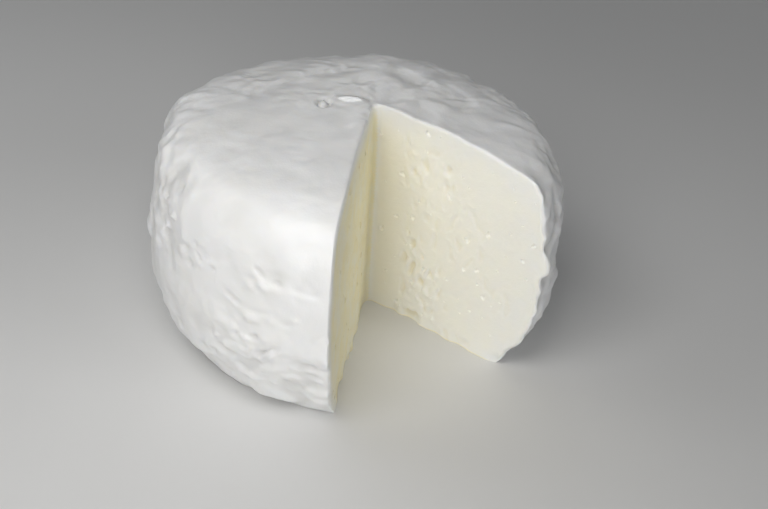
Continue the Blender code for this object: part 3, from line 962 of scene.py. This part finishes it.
def build_cheese():
    """The cheese as points and faces, with how raised, creamy and wet it is at each point; the cream
    holds painted light and shade on the cuts.
    """
    plan = CutPlan()
    outline = fine_outline()
    upper = outline[:OUTLINE_SAMPLES]
    rings = even_points(outline[np.searchsorted(upper[:, 0], TOP_SHARE * RADIUS) :], RING_SPACING)
    cheese = Cheese()
    columns = side_grid(cheese, rings)
    right_u = plan.from_tip(tip_distance(RIGHT_CUT_AZIMUTH, rings[:, 0]))
    left_u = -plan.from_tip(tip_distance(LEFT_CUT_AZIMUTH, rings[:, 0]))
    top_u = cut_line(plan, (left_u[0], right_u[0]), CUT_CELL)
    foot_u = cut_line(plan, (left_u[-1], right_u[-1]), CUT_CELL)
    top_level, _ = plan.place(top_u)
    top_z = np.interp(np.linalg.norm(top_level, axis=1), upper[:, 0], upper[:, 1])
    top_line = cheese.add(np.column_stack([top_level, top_z]))
    foot_level, _ = plan.place(foot_u)
    foot_line = cheese.add(np.column_stack([foot_level, np.zeros(len(foot_u))]))

    disc = [column[0] for column in columns] + top_line
    disc_loop = cheese.level(disc)
    rows = rows_beside(top_level, disc_loop)
    inner = hex_points(disc_loop.min(axis=0), disc_loop.max(axis=0), TOP_CELL)
    inner = np.vstack([rows, keep_inside(inner, disc_loop, TOP_CELL * NEAR_EDGE, rows)])
    inner_z = np.interp(np.linalg.norm(inner, axis=1), upper[:, 0], upper[:, 1])
    cheese.add_patch(disc, disc_loop, inner, np.column_stack([inner, inner_z]), SKIN_SLOT)

    sheet = foot_line + columns[0][::-1] + top_line[::-1] + columns[-1]
    sheet_loop = np.vstack(
        [
            np.column_stack([foot_u, np.zeros(len(foot_u))]),
            np.column_stack([right_u, rings[:, 1]])[::-1],
            np.column_stack([top_u, top_z])[::-1],
            np.column_stack([left_u, rings[:, 1]]),
        ]
    )
    rows = rows_beside(sheet_loop[len(foot_u) :], sheet_loop)
    holes = place_holes(sheet_loop, plan)
    inner = cut_points(sheet_loop, rows, holes)
    level, inward = plan.place(inner[:, 0])
    places = np.column_stack([level, inner[:, 1]])
    numbers = cheese.add_patch(sheet, sheet_loop, inner, places, PASTE_SLOT)

    smooth = np.array(cheese.points)
    outward, depth = skin_frame(smooth, outline)
    moves, relief = skin_moves(smooth, outward, depth)
    moves += cut_moves(smooth) + edge_moves(smooth, plan, outward, depth)
    torn = torn_depths(inner, depth[numbers], plan)
    moves[numbers, :2] += inward * (hole_depths(inner, holes) + torn)[:, None]
    relief[numbers] = -torn
    # Painted light and shade: both cuts are one curd, but the left cut turns creamy close to the skin and
    # the right cut is kept paler
    cream = smooth_step(depth, *CREAM_DEPTH)
    near_tip = 1.0 - smooth_step(inner[:, 0], *RIGHT_CREAM_REACH)
    right_painted_light_share = RIGHT_CREAM_UNDER_PAINTED_LIGHT[0] + (RIGHT_CREAM_UNDER_PAINTED_LIGHT[1] - RIGHT_CREAM_UNDER_PAINTED_LIGHT[0]) * near_tip
    right_painted_light_cream = right_painted_light_share * smooth_step(depth[numbers], *RIGHT_CREAM_DEPTH)
    cream[numbers] = np.where(inner[:, 0] > 0.0, right_painted_light_cream, cream[numbers])
    wet = wet_share(smooth)
    cheese.points = (smooth + moves).tolist()

    under = [column[-1] for column in columns] + foot_line
    under_loop = cheese.level(under)
    inner = hex_points(under_loop.min(axis=0), under_loop.max(axis=0), BASE_CELL)
    inner = keep_inside(inner, under_loop, BASE_CELL * NEAR_EDGE)
    flat = np.zeros(len(inner))
    places = np.column_stack([inner, flat])
    cheese.add_patch(under, under_loop, inner, places, SKIN_SLOT, downward=True)
    fields = {"relief": relief, "cream": cream, "wet": wet}
    return cheese, {name: np.concatenate([values, flat]) for name, values in fields.items()}


def cheese_piece():
    """The cheese as an object."""
    cheese, fields = build_cheese()
    mesh = bpy.data.meshes.new("cheese")
    mesh.from_pydata(cheese.points, [], cheese.faces)
    mesh.polygons.foreach_set("material_index", cheese.slots)
    for name, values in fields.items():
        mesh.attributes.new(name, "FLOAT", "POINT").data.foreach_set("value", values)
    mesh.update()
    mesh.shade_smooth()
    mesh.set_sharp_from_angle(angle=math.radians(SHARP_ANGLE))
    piece = bpy.data.objects.new("cheese", mesh)
    bpy.context.scene.collection.objects.link(piece)
    mesh.materials.append(skin_material())
    mesh.materials.append(paste_material())
    return piece


def new_material(name):
    """A Principled material, its node tree and its shader."""
    material = bpy.data.materials.new(name)
    material.use_nodes = True
    tree = material.node_tree
    return material, tree, tree.nodes["Principled BSDF"]


def noise_node(tree, coordinates, scale, detail):
    """A noise texture on the object's own coordinates, in features per metre."""
    texture = tree.nodes.new("ShaderNodeTexNoise")
    texture.inputs["Scale"].default_value = scale
    texture.inputs["Detail"].default_value = detail
    tree.links.new(coordinates, texture.inputs["Vector"])
    return texture.outputs["Fac"]


def range_node(tree, value, low, high, to_low, to_high):
    """Map a value from one range to another."""
    mapping = tree.nodes.new("ShaderNodeMapRange")
    for socket, number in zip(("From Min", "From Max", "To Min", "To Max"), (low, high, to_low, to_high)):
        mapping.inputs[socket].default_value = number
    tree.links.new(value, mapping.inputs["Value"])
    return mapping.outputs["Result"]


def mix_node(tree, share, first, second):
    """Mix two colours, each a fixed colour or a socket."""
    mix = tree.nodes.new("ShaderNodeMix")
    mix.data_type = "RGBA"
    tree.links.new(share, mix.inputs["Factor"])
    for name, colour in (("A", first), ("B", second)):
        socket = next(s for s in mix.inputs if s.name == name and s.type == "RGBA")
        if isinstance(colour, tuple):
            socket.default_value = (*colour, 1.0)
        else:
            tree.links.new(colour, socket)
    return next(s for s in mix.outputs if s.type == "RGBA")


def mix_value(tree, share, first, second):
    """Mix a number from a socket with a fixed one."""
    mix = tree.nodes.new("ShaderNodeMix")
    tree.links.new(share, mix.inputs[0])
    tree.links.new(first, mix.inputs[2])
    mix.inputs[3].default_value = second
    return mix.outputs[0]


def value_node(tree, name):
    """A number stored at the mesh's points."""
    attribute = tree.nodes.new("ShaderNodeAttribute")
    attribute.attribute_name = name
    return attribute.outputs["Fac"]


def bump_node(tree, height, distance, strength, normal=None):
    """A bump of a real depth in metres, on top of another one."""
    bump = tree.nodes.new("ShaderNodeBump")
    bump.inputs["Distance"].default_value = distance
    bump.inputs["Strength"].default_value = strength
    tree.links.new(height, bump.inputs["Height"])
    if normal is not None:
        tree.links.new(normal, bump.inputs["Normal"])
    return bump.outputs["Normal"]


def soften(shader):
    """Let light scatter a little below the surface, as in fresh curd."""
    shader.inputs["Subsurface Weight"].default_value = SCATTER_WEIGHT
    shader.inputs["Subsurface Radius"].default_value = SCATTER_RADIUS
    shader.inputs["Subsurface Scale"].default_value = SCATTER_SCALE


def skin_material():
    """The moist white skin, darkened in its creases and pits as painted shade, and wet at the blister on
    the top.
    """
    material, tree, shader = new_material("cheese_skin")
    own = tree.nodes.new("ShaderNodeTexCoord").outputs["Object"]
    patches = range_node(tree, noise_node(tree, own, *SKIN_PATCHES), *SKIN_PATCH_RANGE, 0.0, 1.0)
    colour = mix_node(tree, patches, SKIN_WHITE, SKIN_CREAM)
    # Painted shade: the skin is darkened where it lies below its smooth form
    crease_shade = range_node(tree, value_node(tree, "relief"), *SKIN_CREASE_SHADE_RELIEF, 0.0, 1.0)
    tree.links.new(mix_node(tree, crease_shade, colour, SKIN_CREASE_SHADE), shader.inputs["Base Color"])
    moist = range_node(tree, noise_node(tree, own, *SKIN_MOIST), *SKIN_MOIST_RANGE, *SKIN_ROUGHNESS)
    gloss = mix_value(tree, value_node(tree, "wet"), moist, WET_ROUGHNESS)
    tree.links.new(gloss, shader.inputs["Roughness"])
    pores = bump_node(tree, noise_node(tree, own, *SKIN_PORES), *SKIN_PORE_BUMP)
    grain = bump_node(tree, noise_node(tree, own, *SKIN_GRAIN), *SKIN_GRAIN_BUMP, pores)
    tree.links.new(grain, shader.inputs["Normal"])
    soften(shader)
    return material


def paste_material():
    """The cut curd: cream in the middle, whiter towards the skin, kept paler on the right cut as painted
    light, and darkened in its hollows as painted shade.
    """
    material, tree, shader = new_material("cheese_paste")
    own = tree.nodes.new("ShaderNodeTexCoord").outputs["Object"]
    # The cream share holds painted light and shade: the right cut is kept paler than the left
    colour = mix_node(tree, value_node(tree, "cream"), PASTE_RIM, PASTE_MIDDLE)
    mottle = noise_node(tree, own, *PASTE_MOTTLE)
    mottle = range_node(tree, mottle, *PASTE_MOTTLE_RANGE, 0.0, PASTE_MOTTLE_SHARE)
    colour = mix_node(tree, mottle, colour, PASTE_LIGHT)
    # Painted shade: the curd is darkened where it is torn below the cut
    hollow_shade = range_node(tree, value_node(tree, "relief"), *PASTE_HOLLOW_SHADE_RELIEF, 0.0, PASTE_HOLLOW_SHADE_SHARE)
    tree.links.new(mix_node(tree, hollow_shade, colour, PASTE_HOLLOW_SHADE), shader.inputs["Base Color"])
    gloss = range_node(tree, noise_node(tree, own, *PASTE_GLOSS), *PASTE_GLOSS_RANGE, *PASTE_ROUGHNESS)
    tree.links.new(gloss, shader.inputs["Roughness"])
    pores = bump_node(tree, noise_node(tree, own, *PASTE_PORES), *PASTE_PORE_BUMP)
    grain = bump_node(tree, noise_node(tree, own, *PASTE_GRAIN), *PASTE_GRAIN_BUMP, pores)
    tree.links.new(grain, shader.inputs["Normal"])
    soften(shader)
    return material


def add_floor():
    """A plain pale floor."""
    mesh = bpy.data.meshes.new("floor")
    half = FLOOR_SIZE / 2.0
    corners = [(-half, -half, 0.0), (half, -half, 0.0), (half, half, 0.0), (-half, half, 0.0)]
    mesh.from_pydata(corners, [], [(0, 1, 2, 3)])
    floor = bpy.data.objects.new("floor", mesh)
    bpy.context.scene.collection.objects.link(floor)
    material, _, shader = new_material("floor")
    shader.inputs["Base Color"].default_value = (*FLOOR_COLOUR, 1.0)
    shader.inputs["Roughness"].default_value = FLOOR_ROUGHNESS
    mesh.materials.append(material)


def add_softbox(name, azimuth, elevation, distance, size, power, colour):
    """A square area light that faces the cheese."""
    lamp = bpy.data.lights.new(name, "AREA")
    lamp.size = size
    lamp.energy = power
    lamp.color = colour
    light = bpy.data.objects.new(name, lamp)
    turn, rise = math.radians(azimuth), math.radians(elevation)
    away = Vector((math.sin(turn) * math.cos(rise), -math.cos(turn) * math.cos(rise), math.sin(rise)))
    light.location = Vector((0.0, 0.0, HEIGHT / 2.0)) + away * distance
    light.rotation_euler = away.to_track_quat("Z", "Y").to_euler()
    bpy.context.scene.collection.objects.link(light)


def add_surround():
    """A pale surround that lights evenly."""
    world = bpy.data.worlds.new("surround")
    world.use_nodes = True
    surround = world.node_tree.nodes["Background"]
    surround.inputs["Color"].default_value = (*SURROUND_COLOUR, 1.0)
    surround.inputs["Strength"].default_value = SURROUND_STRENGTH
    bpy.context.scene.world = world
    bpy.context.scene.view_settings.view_transform = "Standard"


def add_camera():
    """The camera where the photograph was taken from."""
    data = bpy.data.cameras.new("camera")
    data.sensor_width = SENSOR_WIDTH
    data.lens = CAMERA_LENS
    camera = bpy.data.objects.new("camera", data)
    place = Vector(CAMERA_PLACE)
    aim = (Vector(CAMERA_TARGET) - place).to_track_quat("-Z", "Y")
    camera.location = place
    camera.rotation_euler = (aim @ Quaternion((0.0, 0.0, 1.0), math.radians(CAMERA_ROLL))).to_euler()
    bpy.context.scene.collection.objects.link(camera)
    bpy.context.scene.camera = camera


cheese = cheese_piece()
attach(cheese, "root")
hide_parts("goat_cheese")
add_floor()
for softbox in SOFTBOXES:
    add_softbox(*softbox)
add_surround()
add_camera()
